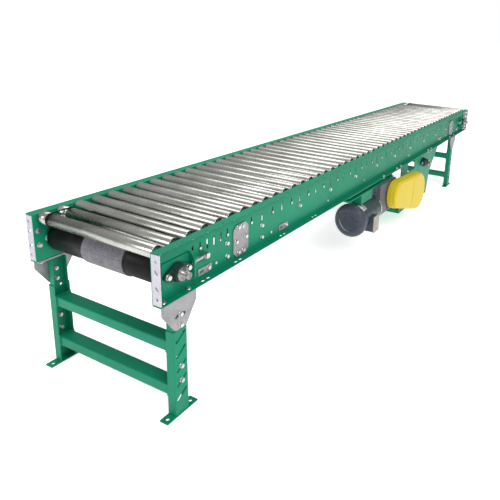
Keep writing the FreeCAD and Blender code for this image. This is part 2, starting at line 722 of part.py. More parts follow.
def lobes_hull(lobes):
    """The three circles of a rhombus flange as a clockwise loop."""
    left, middle, right, _ = lobes
    u, v, r, _ = middle
    return [left, (u, v + 0.01, r, 1), right, (u, v - 0.01, r, 1)]


def shaft_fittings(x, z, face):
    """Inner ring and locking collar on a shaft, at the right bearing whose back is y = face."""
    ring = rod(x, face - 36, face - 2, z, 22.6)
    collar = rod(x, face - 50, face - 36, z, 25.0)
    screw = Part.makeCylinder(4.5, 3, V(x, face - 43, z + 24), V(0, 0, 1))
    return [ring, collar, screw]


def pulley(x, z, radius, face_length, shaft_radius, bearing_face, shaft_reach):
    """A drum on a live shaft with its bearing rings and collars, as one turning piece."""
    half = face_length / 2
    drum = rod(x, -half, half, z, radius)
    drum = drum.cut([rod(x, -half + 8, half - 8, z, radius - 9)])
    dish = []
    for y0, y1 in ((-half - 1, -half + 3), (half - 3, half + 1)):
        ring = rod(x, y0, y1, z, radius - 7)
        dish.append(ring.cut([rod(x, y0 - 1, y1 + 1, z, shaft_radius + 14)]))
    drum = drum.cut(dish)
    shaft = rod(x, -shaft_reach, abs(bearing_face) + 62, z, shaft_radius)
    right = shaft_fittings(x, z, bearing_face)
    left = [mirrored_y(piece) for piece in right]
    return fused(drum, shaft, *(right + left))


# ---------------------------------------------------------------- centre drive
def drive_side_plate(windowed):
    """The right drive plate under the bed, with its top flange under the channel's."""
    top = RAIL_BOTTOM
    strip = down(216)
    low = down(DRIVE_BOX_DROP)
    corners = [(along(1380), top, 0), (along(3190), top, 0), (along(2965), down(400), 15),
               (along(DRIVE_BOX_END), low, 12), (along(DRIVE_BOX_START), low, 12),
               (along(DRIVE_BOX_START), strip, 6), (along(2118), strip, 4), (along(2118), down(276), 10),
               (along(2066), down(276), 10), (along(2066), strip, 4), (along(1380), strip, 4)]
    plate = prism(corners, "xz", -WEB_OUT, 4.8)
    shelf = box(along(1380), along(3190), -TIP + 2, -WEB_OUT + 4.8, top - 4.8, top)
    cuts = []
    for distance in flange_bolt_places():
        hole = V(along(distance), -WEB_OUT - 22, top - 6)
        cuts.append(Part.makeCylinder(BOLT / 2 + BOLT_CLEARANCE, 8, hole))
    if windowed:
        window = rectangle(along(2432), along(2585), down(288), down(210), 6)
        cuts.append(prism(window, "xz", -WEB_OUT - 1, 8))
    for distance, drop in ((DRIVE_PULLEY_PLACE, DRIVE_PULLEY_DROP), (TAKE_UP_PLACE, TAKE_UP_DROP)):
        cuts.append(rod(along(distance), -WEB_OUT - 1, -WEB_IN + 5, down(drop), 24))
        for reach in bearing_bolt_offsets():
            cuts.append(bolt_hole(along(distance) + reach, down(drop), -WEB_OUT - 1, -WEB_IN + 5, 11.0))
    cuts.append(hex_rod(along(SNUB_PLACE), -WEB_OUT - 1, -WEB_IN + 5, down(SNUB_DROP), HEX_AXLE + 0.4))
    return fused(plate, shelf).cut(cuts)


def drive_bottom_guard():
    """The bent pan between the drive plates, under the drive pulley."""
    low = down(DRIVE_BOX_DROP)
    x0 = along(DRIVE_BOX_START)
    x1 = along(DRIVE_BOX_END)
    pan = box(x0, x1, -WEB_OUT - 2, WEB_OUT + 2, low - 2.7, low)
    lips = [box(x, x + 2.7, -WEB_IN + 7, WEB_IN - 7, low, low + 30) for x in (x0, x1 - 2.7)]
    return fused(pan, *lips)


def motor_base():
    """The plate that hangs the reducer and the motor under the right drive plate."""
    x0 = along(1400)
    x1 = along(REDUCER_END)
    back = -WEB_OUT + 80
    plate = box(x0, x1, -TIP + 2, back, down(221), down(216.3))
    rib = box(x0, x1, back - 4.8, back, down(221), down(200))
    saddle = box(along(1560), along(1720), motor_axis_y() - 30, motor_axis_y() + 30,
                 MOTOR_Z + 81, down(221))
    return fused(plate, rib, saddle)


def motor_axis_y():
    return -WEB_OUT


def motor_cylinder(x0, x1, radius):
    return Part.makeCylinder(radius, x1 - x0, V(x0, motor_axis_y(), MOTOR_Z), V(1, 0, 0))


def motor_housing():
    """The motor's shell, with a turned register ring at the reducer."""
    x0 = along(MOTOR_SHELL)
    face = along(MOTOR_FACE)
    shell = motor_cylinder(x0 + 2, face - 18, 80.0)
    edge = [e for e in shell.Edges if abs(e.CenterOfMass.x - face + 18) < 0.1 and e.Length > 100]
    shell = shell.makeFillet(8.0, edge)
    neck = motor_cylinder(face - 20, face - 0.4, 70.0)
    rear = motor_cylinder(x0 - 6, x0 + 4, 74.0)
    body = fused(shell, neck, rear)
    cavity = motor_cylinder(x0 + 10, face - 30, 70.0)
    bore = motor_cylinder(x0 - 20, face + 5, 15.0)
    return body.cut([cavity, bore])


def motor_register_ring():
    """The bare ring that centres the motor on the reducer."""
    face = along(MOTOR_FACE)
    ring = motor_cylinder(face - 14, face - 4, 77.0)
    return ring.cut([motor_cylinder(face - 15, face, 70.3)])


def motor_fan_cover():
    """The pressed cover over the cooling fan, with a ring pattern of air holes."""
    x0 = along(MOTOR_FRONT)
    x1 = along(MOTOR_SHELL) - 0.4
    cover = motor_cylinder(x0, x1, 98.0)
    rim = [edge for edge in cover.Edges if abs(edge.CenterOfMass.x - x0) < 0.1 and edge.Length > 100]
    cover = cover.makeFillet(30.0, rim)
    hollow = motor_cylinder(x0 + 2.0, x1 + 1, 96.0)
    rim = [edge for edge in hollow.Edges if abs(edge.CenterOfMass.x - x0 - 2.0) < 0.1 and edge.Length > 100]
    cover = cover.cut([hollow.makeFillet(28.0, rim)])
    cuts = []
    for inner, outer, count in ((13, 24, 12), (29, 41, 20), (46, 59, 28)):
        for i in range(count):
            slot = box(x0 - 1, x0 + 4, -1.7, 1.7, inner, outer)
            slot.rotate(V(0, 0, 0), V(1, 0, 0), 360.0 * i / count)
            slot.translate(V(0, motor_axis_y(), MOTOR_Z))
            cuts.append(slot)
    return cover.cut(cuts)


def cooling_fan():
    """A radial fan on the tail of the motor shaft."""
    x0 = along(MOTOR_FRONT) + 9
    y = motor_axis_y()
    hub = motor_cylinder(x0, x0 + 24, 20.0)
    disc = motor_cylinder(x0 + 20, x0 + 24, 66.0)
    blades = []
    for i in range(8):
        blade = box(x0 + 3, x0 + 22, y + 16, y + 66, MOTOR_Z - 1.5, MOTOR_Z + 1.5)
        blade.rotate(V(x0, y, MOTOR_Z), V(1, 0, 0), 45 * i)
        blades.append(blade)
    bore = motor_cylinder(x0 - 1, x0 + 31, 12.0)
    return fused(hub, disc, *blades).cut([bore])


def motor_rotor():
    x0 = along(MOTOR_FRONT) + 7
    shaft = motor_cylinder(x0, along(MOTOR_FACE) + 34, 12.0)
    core = motor_cylinder(along(1560), along(1670), 38.0)
    return fused(shaft, core)


def conduit_box():
    """The motor's connection box, on the outer side of the shell."""
    y0 = motor_axis_y() - 98
    body = prism(rectangle(along(1600), along(1672), down(452), down(358), 6), "xz", y0, 60)
    return body.cut([motor_cylinder(along(1590), along(1680), 80.3)])


def conduit_box_cover():
    y0 = motor_axis_y() - 103.2
    return prism(rectangle(along(1597), along(1675), down(455), down(355), 8), "xz", y0, 5)


def gear_reducer_housing():
    """A hollow worm box with ribs, an input flange and an output boss."""
    x0 = along(MOTOR_FACE)
    x1 = along(REDUCER_END)
    y = motor_axis_y()
    low = down(425)
    high = down(221.4)
    block = prism(rectangle(x0 + 10, x1, low + 6, high, 10), "xz", y - 52, 104)
    plate = prism(rectangle(y - 57, y + 57, low, high, 14), "yz", x0, 12)
    boss = rod(along(OUTPUT_PLACE), y - 57, y + 57, OUTPUT_Z, 40.0)
    ribs = []
    for reach in (-60, -30, 30):
        ribs.append(box(along(OUTPUT_PLACE) + reach - 3, along(OUTPUT_PLACE) + reach + 3,
                        y - 56, y + 56, low + 12, high - 6))
    body = fused(block, plate, boss, *ribs)
    cavity = box(x0 + 22, x1 - 12, y - 42, y + 42, low + 18, high - 14)
    bores = [rod(along(OUTPUT_PLACE), y - 60, y + 60, OUTPUT_Z, 17.6),
             motor_cylinder(x0 - 1, x0 + 30, 16.0)]
    return body.cut([cavity] + bores)


def worm_shaft():
    """The worm that the motor shaft drives: a helical thread stylised as rings."""
    start = along(MOTOR_FACE) + 34.5
    shaft = motor_cylinder(start, along(REDUCER_END) - 13, 8.0)
    rings = []
    for i in range(9):
        x = along(OUTPUT_PLACE) - 36 + 9 * i
        ring = Part.makeCone(10.0, 12.5, 3, V(x - 3, motor_axis_y(), MOTOR_Z), V(1, 0, 0))
        back = Part.makeCone(12.5, 10.0, 3, V(x, motor_axis_y(), MOTOR_Z), V(1, 0, 0))
        rings += [ring, back]
    return fused(shaft, *rings)


def toothed_disc(x, z, y0, y1, root, tip, teeth):
    """A disc with straight-sided teeth between the root and tip radii."""
    corners = []
    for i in range(teeth):
        angle = 2 * math.pi * i / teeth
        step = 2 * math.pi / teeth
        for share, radius in ((-0.26, root), (-0.12, tip), (0.12, tip), (0.26, root)):
            a = angle + share * step
            corners.append((x + radius * math.cos(a), z + radius * math.sin(a), 0))
    return prism(corners, "xz", y0, y1 - y0)


def worm_wheel():
    """The wheel inside the reducer."""
    y = motor_axis_y()
    disc = toothed_disc(along(OUTPUT_PLACE), OUTPUT_Z, y - 12, y + 12, 27.5, 31.0, 20)
    return disc.cut([rod(along(OUTPUT_PLACE), y - 13, y + 13, OUTPUT_Z, 16.0)])


def output_shaft():
    """The reducer's output shaft with the driving sprocket."""
    x = along(OUTPUT_PLACE)
    y = -WEB_OUT - CHAIN_OUT
    shaft = rod(x, y - 14, motor_axis_y() + 50, OUTPUT_Z, 16.0)
    disc = toothed_disc(x, OUTPUT_Z, y - 4, y + 4, DRIVER_RADIUS - 11, DRIVER_RADIUS - 6, DRIVER_TEETH)
    hub = rod(x, y + 4, y + 20, OUTPUT_Z, 26.0)
    return fused(shaft, disc, hub)


def driven_sprocket():
    x = along(DRIVE_PULLEY_PLACE)
    z = down(DRIVE_PULLEY_DROP)
    y = -WEB_OUT - CHAIN_OUT
    disc = toothed_disc(x, z, y - 4, y + 4, DRIVEN_RADIUS - 11, DRIVEN_RADIUS - 6, DRIVEN_TEETH)
    hub = rod(x, y - 12, y + 16, z, 32.0)
    bore = rod(x, y - 13, y + 17, z, DRIVE_SHAFT_RADIUS)
    return fused(disc, hub).cut([bore])


def chain_circles(radius_offset):
    return [(along(OUTPUT_PLACE), OUTPUT_Z, DRIVER_RADIUS + radius_offset, 1),
            (along(DRIVE_PULLEY_PLACE), down(DRIVE_PULLEY_DROP), DRIVEN_RADIUS + radius_offset, 1)]


def drive_chain():
    y = -WEB_OUT - CHAIN_OUT
    outer = loop_prism(chain_circles(5.5), y - 8, 16)
    inner = loop_prism(chain_circles(-5.0), y - 9, 18)
    return outer.cut([inner])


def guard_circles(drop_in):
    """Outline of the chain guard round both sprockets, drawn in by this much."""
    return [(along(OUTPUT_PLACE), OUTPUT_Z, 92.0 - drop_in, 1),
            (along(DRIVE_PULLEY_PLACE), down(DRIVE_PULLEY_DROP), 134.0 - drop_in, 1)]


def chain_guard_back():
    """The back plate of the chain guard, cut out for the two shafts."""
    y0 = -WEB_OUT - GUARD_BACK - 2.7
    plate = loop_prism(guard_circles(3.0), y0, 2.7)
    cuts = [rod(along(OUTPUT_PLACE), y0 - 1, y0 + 4, OUTPUT_Z, 42),
            rod(along(DRIVE_PULLEY_PLACE), y0 - 1, y0 + 4, down(DRIVE_PULLEY_DROP), 40)]
    return plate.cut(cuts)


def guard_block(back, step, front, skin):
    """The stepped, bevelled solid of the guard cover, made smaller by skin on every side."""
    wide = loop_prism(guard_circles(skin), step + skin, back - step - skin)
    narrow = loop_prism(guard_circles(5.0 + skin), front + skin, back - front - skin)
    rim = [edge for edge in narrow.Edges if abs(edge.BoundBox.YMax - (front + skin)) < 0.1]
    narrow = narrow.makeChamfer(11.0, rim)
    return fused(wide, narrow)


def chain_guard_cover():
    """The stepped and bevelled cover of the chain guard, with a seam bead and a latch."""
    back = -WEB_OUT - GUARD_BACK - 3.0
    step = -WEB_OUT - 86.0
    front = -WEB_OUT - GUARD_FRONT
    cover = guard_block(back, step, front, 0.0).cut([guard_block(back + 5, step, front, 2.2)])
    x = along(2232)
    z = down(358)
    bead = prism([(x - 2, z - 106, 1), (x + 2, z - 106, 1), (x + 2, z + 92, 1), (x - 2, z + 92, 1)],
                 "xz", front - 1.4, 2.0)
    bead.rotate(V(x, front, z), V(0, 1, 0), 10.5)
    latch = prism(stadium(x - 8, z - 18, x + 10, z - 14, 9), "xz", front - 3.5, 4.5)
    return fused(cover, bead, latch)


# ---------------------------------------------------------------- fasteners
def near_right_bolts():
    """Bolts that repeat at all four corners of the bed and its supports."""
    pieces = []
    for distance, drop in coupling_bolt_places():
        pieces.append(bolt(V(along(distance), -WEB_IN, down(drop)), V(0, 1, 0), COUPLING_THICKNESS + 2.7))
    for distance, drop in web_bolt_places():
        pieces.append(bolt(V(along(distance), -WEB_OUT, down(drop)), V(0, -1, 0), 6.7))
    for distance, drop in cover_bolt_places():
        pieces.append(bolt(V(along(distance), -WEB_OUT - 4.8, down(drop)), V(0, -1, 0), 7.5))
    for distance in take_up_bolt_places():
        pieces.append(bolt(V(along(distance), -WEB_OUT - 3.4, down(159.0)), V(0, -1, 0), 6.1))
    for reach in bearing_bolt_offsets():
        x = along(END_PULLEY_INSET) + reach
        pieces.append(bolt(V(x, -WEB_OUT - 4.8 - 13, END_PULLEY_Z), V(0, -1, 0), 20.5, 11.0))
    return pieces


def single_web_bolts():
    pieces = []
    for distance, drop in single_web_bolt_places():
        head = V(along(distance), -WEB_OUT, down(drop))
        if drop == SPREADER_DROP:
            pieces.append(cap_screw(head, V(0, -1, 0), 20.0))
        else:
            pieces.append(bolt(head, V(0, -1, 0), CHANNEL_GAUGE))
    return pieces


def support_bolts():
    """Bolts of the near right pivot bracket, and those that clamp the telescoping legs."""
    pieces = []
    for reach in (-58.7, 58.7):
        x = along(SUPPORT_INSET) + reach
        head = V(x, -WEB_OUT - 16, RAIL_BOTTOM + CHANNEL_GAUGE)
        pieces.append(bolt(head, V(0, 0, 1), CHANNEL_GAUGE + 6.35))
    face = -WEB_OUT - LEG_OUT + 2.7 + 0.4
    for z in bracket_bolt_heights():
        pieces.append(bolt(V(along(SUPPORT_INSET), face - 6.35, z), V(0, -1, 0), 9.05))
    face = -WEB_OUT - LEG_OUT
    for z in leg_bolt_heights():
        pieces.append(bolt(V(along(SUPPORT_INSET), face - 0.3, z), V(0, -1, 0), 6.1))
    return pieces


def drive_bolts():
    """Bolts of the right drive plate."""
    pieces = []
    for distance in flange_bolt_places():
        head = V(along(distance), -WEB_OUT - 22, RAIL_BOTTOM + CHANNEL_GAUGE)
        pieces.append(bolt(head, V(0, 0, 1), CHANNEL_GAUGE + 4.8))
    for distance, drop in ((DRIVE_PULLEY_PLACE, DRIVE_PULLEY_DROP), (TAKE_UP_PLACE, TAKE_UP_DROP)):
        for reach in bearing_bolt_offsets():
            x = along(distance) + reach
            pieces.append(bolt(V(x, -WEB_OUT - 13, down(drop)), V(0, -1, 0), 17.8, 11.0))
    return pieces


# ---------------------------------------------------------------- the assembly
def bed_nodes():
    right = side_channel()
    nodes = {
        "right_side_channel": [right],
        "left_side_channel": [mirrored_y(right)],
        "end_couplings": four_ways([end_coupling()]),
        "bed_cross_braces": [],
        "web_cover_plates": four_ways([web_cover()]),
        "conveyor_belt": [conveyor_belt()],
    }
    for place in BRACE_PLACES:
        brace = cross_brace(place)
        nodes["bed_cross_braces"] += [brace, mirrored_x(brace)]
    for i in range(SPREADER_COUNT):
        nodes["bed_cross_braces"].append(spreader(i))
    return nodes


def roller_nodes():
    band_y = 236.0
    nodes = {"tread_roller_axles": [], "belt_roller_axles": []}
    joined = []
    for i in range(ROLLER_COUNT):
        x = along(ROLLER_PITCH * (i + 0.5))
        grooved = i < 2 or i >= ROLLER_COUNT - 2
        piece = roller(x, ROLLER_Z, groove_y=band_y if grooved else None)
        nodes["tread_roller_axles"].append(roller_axle(x, ROLLER_Z))
        if i < SEPARATE_ROLLERS:
            nodes["tread_roller_%02d" % (i + 1)] = [piece]
        else:
            joined.append(piece)
    nodes["tread_rollers_%d_to_%d" % (SEPARATE_ROLLERS + 1, ROLLER_COUNT)] = joined
    pressure = []
    for i in range(PRESSURE_COUNT):
        x = along(PRESSURE_FIRST + PRESSURE_PITCH * i)
        pressure.append(roller(x, PRESSURE_Z))
        nodes["belt_roller_axles"].append(roller_axle(x, PRESSURE_Z))
    nodes["pressure_rollers"] = pressure
    idlers = []
    for distance in IDLER_PLACES:
        idlers.append(roller(along(distance), IDLER_Z))
        nodes["belt_roller_axles"].append(roller_axle(along(distance), IDLER_Z))
    nodes["return_idlers"] = idlers
    nodes["belt_roller_axles"].append(roller_axle(along(SNUB_PLACE), down(SNUB_DROP)))
    first = along(ROLLER_PITCH / 2)
    nodes["slave_drive_bands"] = [slave_band(first, band_y), slave_band(-first - ROLLER_PITCH, band_y)]
    return nodes


def support_nodes():
    leg = lower_leg()
    nodes = {
        "pivot_brackets": at_supports([pivot_bracket()]),
        "upper_legs": at_supports([upper_leg()]),
        "near_right_lower_leg": [leg],
        "near_left_lower_leg": [mirrored_y(leg)],
        "far_right_lower_leg": [at_far_support(leg)],
        "far_left_lower_leg": [at_far_support(mirrored_y(leg))],
    }
    for name, top in CROSS_TOPS:
        member = cross_member(top)
        nodes["near_%s_cross_member" % name] = [member]
        nodes["far_%s_cross_member" % name] = [at_far_support(member)]
    return nodes


def pulley_nodes():
    x = along(END_PULLEY_INSET)
    face = -WEB_OUT - 4.8
    end = pulley(x, END_PULLEY_Z, END_PULLEY_RADIUS, END_PULLEY_LENGTH, END_SHAFT_RADIUS,
                 face, WEB_OUT + 66)
    drive = pulley(along(DRIVE_PULLEY_PLACE), down(DRIVE_PULLEY_DROP), DRIVE_PULLEY_RADIUS,
                   DRIVE_PULLEY_LENGTH, DRIVE_SHAFT_RADIUS, -WEB_OUT, WEB_OUT + CHAIN_OUT + 16)
    take_up = pulley(along(TAKE_UP_PLACE), down(TAKE_UP_DROP), TAKE_UP_RADIUS,
                     DRIVE_PULLEY_LENGTH, END_SHAFT_RADIUS, -WEB_OUT, WEB_OUT + 62)
    anchors = [anchor_plate(distance) for distance in take_up_bolt_places()]
    bearings = four_ways([flange_bearing(x, END_PULLEY_Z, face)])
    for place, drop in ((DRIVE_PULLEY_PLACE, DRIVE_PULLEY_DROP), (TAKE_UP_PLACE, TAKE_UP_DROP)):
        bearings += both_sides([flange_bearing(along(place), down(drop), -WEB_OUT)])
    snub = rod(along(SNUB_PLACE), -DRIVE_PULLEY_LENGTH / 2, DRIVE_PULLEY_LENGTH / 2,
               down(SNUB_DROP), SNUB_RADIUS)
    snub = snub.cut([rod(along(SNUB_PLACE), -200, 200, down(SNUB_DROP), AXLE_BORE / 2)])
    return {
        "near_end_pulley": [end],
        "far_end_pulley": [mirrored_x(end)],
        "drive_pulley": [drive],
        "take_up_pulley": [take_up],
        "snub_roller": [snub],
        "take_up_plates": four_ways([take_up_plate()]),
        "anchor_plates": four_ways(anchors),
        "take_up_screws": four_ways([take_up_screw()]),
        "flange_bearings": bearings,
    }


def drive_nodes():
    return {
        "right_drive_side_plate": [drive_side_plate(True)],
        "left_drive_side_plate": [mirrored_y(drive_side_plate(False))],
        "drive_bottom_guard": [drive_bottom_guard()],
        "motor_base": [motor_base()],
        "motor_housing": [motor_housing()],
        "motor_fan_cover": [motor_fan_cover()],
        "cooling_fan": [cooling_fan()],
        "motor_rotor": [motor_rotor()],
        "motor_register_ring": [motor_register_ring()],
        "conduit_box": [conduit_box()],
        "conduit_box_cover": [conduit_box_cover()],
        "gear_reducer_housing": [gear_reducer_housing()],
        "worm_shaft": [worm_shaft()],
        "worm_wheel": [worm_wheel()],
        "output_shaft": [output_shaft()],
        "driven_sprocket": [driven_sprocket()],
        "drive_chain": [drive_chain()],
        "chain_guard_back": [chain_guard_back()],
        "chain_guard_cover": [chain_guard_cover()],
    }


def fastener_nodes():
    corners = four_ways(near_right_bolts()) + at_supports(support_bolts())
    return {"fasteners": corners + both_sides(drive_bolts() + single_web_bolts())}


def export(nodes):
    os.makedirs("parts", exist_ok=True)
    between_supports = (along(SUPPORT_INSET) - along(FAR_SUPPORT_INSET)) / 2
    for name, solids in nodes.items():
        for solid in solids:
            solid.translate(V(-between_supports, 0, 0))
        shape = solids[0] if len(solids) == 1 else Part.makeCompound(solids)
        shape.exportStep("parts/%s.step" % name)
        print("%-28s %3d solid(s) valid %s" % (name, len(shape.Solids), shape.isValid()))


nodes = {}
for group in (bed_nodes, roller_nodes, support_nodes, pulley_nodes, drive_nodes, fastener_nodes):
    nodes.update(group())
export(nodes)
print(len(nodes), "nodes")
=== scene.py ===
"""Blender scene for the live-roller conveyor section: looks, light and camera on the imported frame."""
import bpy
import bmesh
import json
import math
from mathutils import Matrix, Vector


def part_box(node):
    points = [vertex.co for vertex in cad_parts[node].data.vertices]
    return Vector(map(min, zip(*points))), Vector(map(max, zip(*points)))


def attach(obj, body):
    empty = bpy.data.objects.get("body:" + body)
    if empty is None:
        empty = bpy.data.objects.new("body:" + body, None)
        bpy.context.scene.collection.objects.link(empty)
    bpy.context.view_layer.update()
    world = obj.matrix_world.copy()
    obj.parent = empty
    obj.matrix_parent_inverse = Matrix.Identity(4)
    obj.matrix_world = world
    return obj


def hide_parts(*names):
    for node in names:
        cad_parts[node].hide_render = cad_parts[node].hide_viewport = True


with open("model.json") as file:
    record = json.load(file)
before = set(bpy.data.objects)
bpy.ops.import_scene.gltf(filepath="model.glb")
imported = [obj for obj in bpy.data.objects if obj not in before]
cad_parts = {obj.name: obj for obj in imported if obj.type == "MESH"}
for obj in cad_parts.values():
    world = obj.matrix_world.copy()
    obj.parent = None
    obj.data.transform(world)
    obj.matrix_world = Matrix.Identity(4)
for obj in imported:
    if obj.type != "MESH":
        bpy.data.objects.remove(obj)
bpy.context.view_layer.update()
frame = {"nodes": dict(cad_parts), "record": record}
NODES = frame["nodes"]
scene = bpy.context.scene


# ---------------------------------------------------------------- node helpers
class Shader:
    """A small builder for one procedural material."""

    def __init__(self, name):
        self.material = bpy.data.materials.new(name)
        self.material.use_nodes = True
        self.tree = self.material.node_tree
        self.surface = self.tree.nodes["Principled BSDF"]
        self.place = self.node("ShaderNodeTexCoord").outputs["Object"]

    def node(self, kind, **settings):
        made = self.tree.nodes.new(kind)
        for key, value in settings.items():
            setattr(made, key, value)
        return made

    def join(self, output, target):
        self.tree.links.new(output, target)

    def stretched(self, scale):
        mapping = self.node("ShaderNodeMapping")
        mapping.inputs["Scale"].default_value = scale
        self.join(self.place, mapping.inputs["Vector"])
        return mapping.outputs["Vector"]

    def noise(self, scale, detail=3.0, roughness=0.55, where=None):
        made = self.node("ShaderNodeTexNoise")
        made.inputs["Scale"].default_value = scale
        made.inputs["Detail"].default_value = detail
        made.inputs["Roughness"].default_value = roughness
        self.join(where or self.place, made.inputs["Vector"])
        return made.outputs["Fac"]

    def cells(self, scale):
        made = self.node("ShaderNodeTexVoronoi", feature="F1")
        made.inputs["Scale"].default_value = scale
        self.join(self.place, made.inputs["Vector"])
        return made.outputs["Color"]

    def ramp(self, value, stops):
        made = self.node("ShaderNodeValToRGB")
        elements = made.color_ramp.elements
        while len(elements) < len(stops):
            elements.new(0.5)
        for element, (position, color) in zip(elements, stops):
            element.position = position
            element.color = (*color, 1.0)
        self.join(value, made.inputs["Fac"])
        return made.outputs["Color"]

    def levels(self, value, low, high, start=0.3, end=0.7):
        made = self.node("ShaderNodeMapRange")
        made.inputs["From Min"].default_value = start
        made.inputs["From Max"].default_value = end
        made.inputs["To Min"].default_value = low
        made.inputs["To Max"].default_value = high
        self.join(value, made.inputs["Value"])
        return made.outputs["Result"]

    def mixed(self, amount, first, second, blend="MIX"):
        made = self.node("ShaderNodeMix", data_type="RGBA", blend_type=blend)
        for value, name in ((amount, 0), (first, 6), (second, 7)):
            if isinstance(value, (int, float)):
                made.inputs[name].default_value = value
            elif isinstance(value, tuple):
                made.inputs[name].default_value = (*value, 1.0)
            else:
                self.join(value, made.inputs[name])
        return made.outputs[2]

    def bump(self, height, strength, distance):
        made = self.node("ShaderNodeBump")
        made.inputs["Strength"].default_value = strength
        made.inputs["Distance"].default_value = distance
        self.join(height, made.inputs["Height"])
        self.join(made.outputs["Normal"], self.surface.inputs["Normal"])

    def rounded(self, radius):
        """Softens sharp edges, so that they catch the light as bent or cast ones do."""
        made = self.node("ShaderNodeBevel", samples=4)
        made.inputs["Radius"].default_value = radius
        bumps = [n for n in self.tree.nodes if n.bl_idname == "ShaderNodeBump"]
        if bumps:
            self.join(made.outputs["Normal"], bumps[0].inputs["Normal"])
        else:
            self.join(made.outputs["Normal"], self.surface.inputs["Normal"])

    def set(self, **values):
        for name, value in values.items():
            socket = self.surface.inputs[name.replace("_", " ")]
            if isinstance(value, (int, float)):
                socket.default_value = value
            elif isinstance(value, tuple):
                socket.default_value = (*value, 1.0)
            else:
                self.join(value, socket)


def powder_coat(name, color, dark, light):
    """Painted sheet: orange peel, faint colour drift and a little dust on it."""
    s = Shader(name)
    drift = s.ramp(s.noise(2.3, 4.0), [(0.30, dark), (0.55, color), (0.80, light)])
    speck = s.noise(420.0, 2.0)
    tint = s.mixed(s.levels(speck, 0.0, 0.16, 0.55, 0.75), drift, light)
    s.set(Base_Color=tint, Specular_IOR_Level=0.16,
          Roughness=s.levels(s.noise(9.0, 3.0), 0.38, 0.50))
    s.bump(s.noise(650.0, 2.0), 0.10, 0.0006)
    s.rounded(0.0012)
    return s.material


def galvanized(name, dark, light, spangle=120.0):
    """Zinc-coated sheet: a faint crystal spangle under a cloudy grey skin."""
    s = Shader(name)
    grain = s.cells(spangle)
    split = s.node("ShaderNodeSeparateColor")
    s.join(grain, split.inputs["Color"])
    tone = s.ramp(s.noise(16.0, 5.0, 0.6), [(0.30, dark), (0.70, light)])
    crystal = s.mixed(s.levels(split.outputs["Red"], 0.0, 0.22, 0.0, 1.0), tone, light)
    s.set(Base_Color=crystal, Metallic=0.55,
          Roughness=s.levels(split.outputs["Green"], 0.42, 0.52, 0.0, 1.0))
    s.bump(s.noise(300.0, 3.0), 0.10, 0.0004)
    s.rounded(0.0010)
    return s.material


def roller_zinc(name):
    """Bright zinc-plated tube with fine rings of drawing marks round it."""
    s = Shader(name)
    rings = s.noise(60.0, 5.0, 0.7, s.stretched((1.0, 14.0, 1.0)))
    blotch = s.noise(14.0, 3.0, 0.6, s.stretched((1.0, 0.35, 1.0)))
    tone = s.ramp(blotch, [(0.32, (0.34, 0.34, 0.31)), (0.50, (0.46, 0.46, 0.425)),
                           (0.70, (0.58, 0.585, 0.57))])
    marked = s.mixed(s.levels(rings, 0.0, 0.35, 0.45, 0.75), tone, (0.25, 0.25, 0.235))
    s.set(Base_Color=marked, Metallic=1.0, Roughness=s.levels(rings, 0.20, 0.32))
    s.bump(rings, 0.06, 0.0003)
    return s.material


def plated_steel(name, color, dark, roughness=0.33):
    """Plated or turned steel with a fine mottle."""
    s = Shader(name)
    tone = s.ramp(s.noise(90.0, 4.0), [(0.3, dark), (0.65, color)])
    s.set(Base_Color=tone, Metallic=0.95,
          Roughness=s.levels(s.noise(160.0), roughness - 0.08, roughness + 0.12))
    s.bump(s.noise(500.0, 2.0), 0.10, 0.0004)
    s.rounded(0.0006)
    return s.material


def belting(name):
    """Woven belting: a fine two-way weave with worn patches and pale fluff."""
    s = Shader(name)
    weave_x = s.node("ShaderNodeTexWave", wave_type="BANDS", bands_direction="X")
    weave_y = s.node("ShaderNodeTexWave", wave_type="BANDS", bands_direction="Y")
    for wave in (weave_x, weave_y):
        wave.inputs["Scale"].default_value = 110.0
        wave.inputs["Distortion"].default_value = 1.2
        s.join(s.place, wave.inputs["Vector"])
    cross = s.mixed(0.5, weave_x.outputs["Color"], weave_y.outputs["Color"])
    base = s.ramp(s.noise(26.0, 6.0, 0.7), [(0.30, (0.060, 0.058, 0.072)), (0.55, (0.125, 0.120, 0.142)),
                                            (0.78, (0.23, 0.225, 0.25))])
    specks = s.levels(s.noise(330.0, 4.0, 0.7), 0.0, 0.75, 0.46, 0.66)
    fluff = s.mixed(specks, base, (0.34, 0.335, 0.37))
    worn = s.mixed(0.30, fluff, cross, "MULTIPLY")
    s.set(Base_Color=worn, Roughness=s.levels(s.noise(60.0), 0.72, 0.92), Sheen_Weight=0.15)
    s.bump(cross, 0.35, 0.0006)
    return s.material


def lagging(name):
    """Smooth black rubber."""
    s = Shader(name)
    tone = s.ramp(s.noise(35.0, 5.0), [(0.35, (0.003, 0.003, 0.004)), (0.7, (0.010, 0.009, 0.010))])
    s.set(Base_Color=tone, Specular_IOR_Level=0.14,
          Roughness=s.levels(s.noise(20.0, 4.0), 0.30, 0.45))
    s.bump(s.noise(380.0, 3.0), 0.22, 0.0006)
    return s.material


def casting(name, dark, light, roughness):
    """Painted casting: pebbly skin and darker patches at random."""
    s = Shader(name)
    tone = s.ramp(s.noise(55.0, 5.0, 0.65), [(0.30, dark), (0.72, light)])
    s.set(Base_Color=tone, Specular_IOR_Level=0.28,
          Roughness=s.levels(s.noise(30.0, 3.0), roughness - 0.08, roughness + 0.10))
    s.bump(s.noise(240.0, 4.0, 0.65), 0.30, 0.0009)
    s.rounded(0.0016)
    return s.material


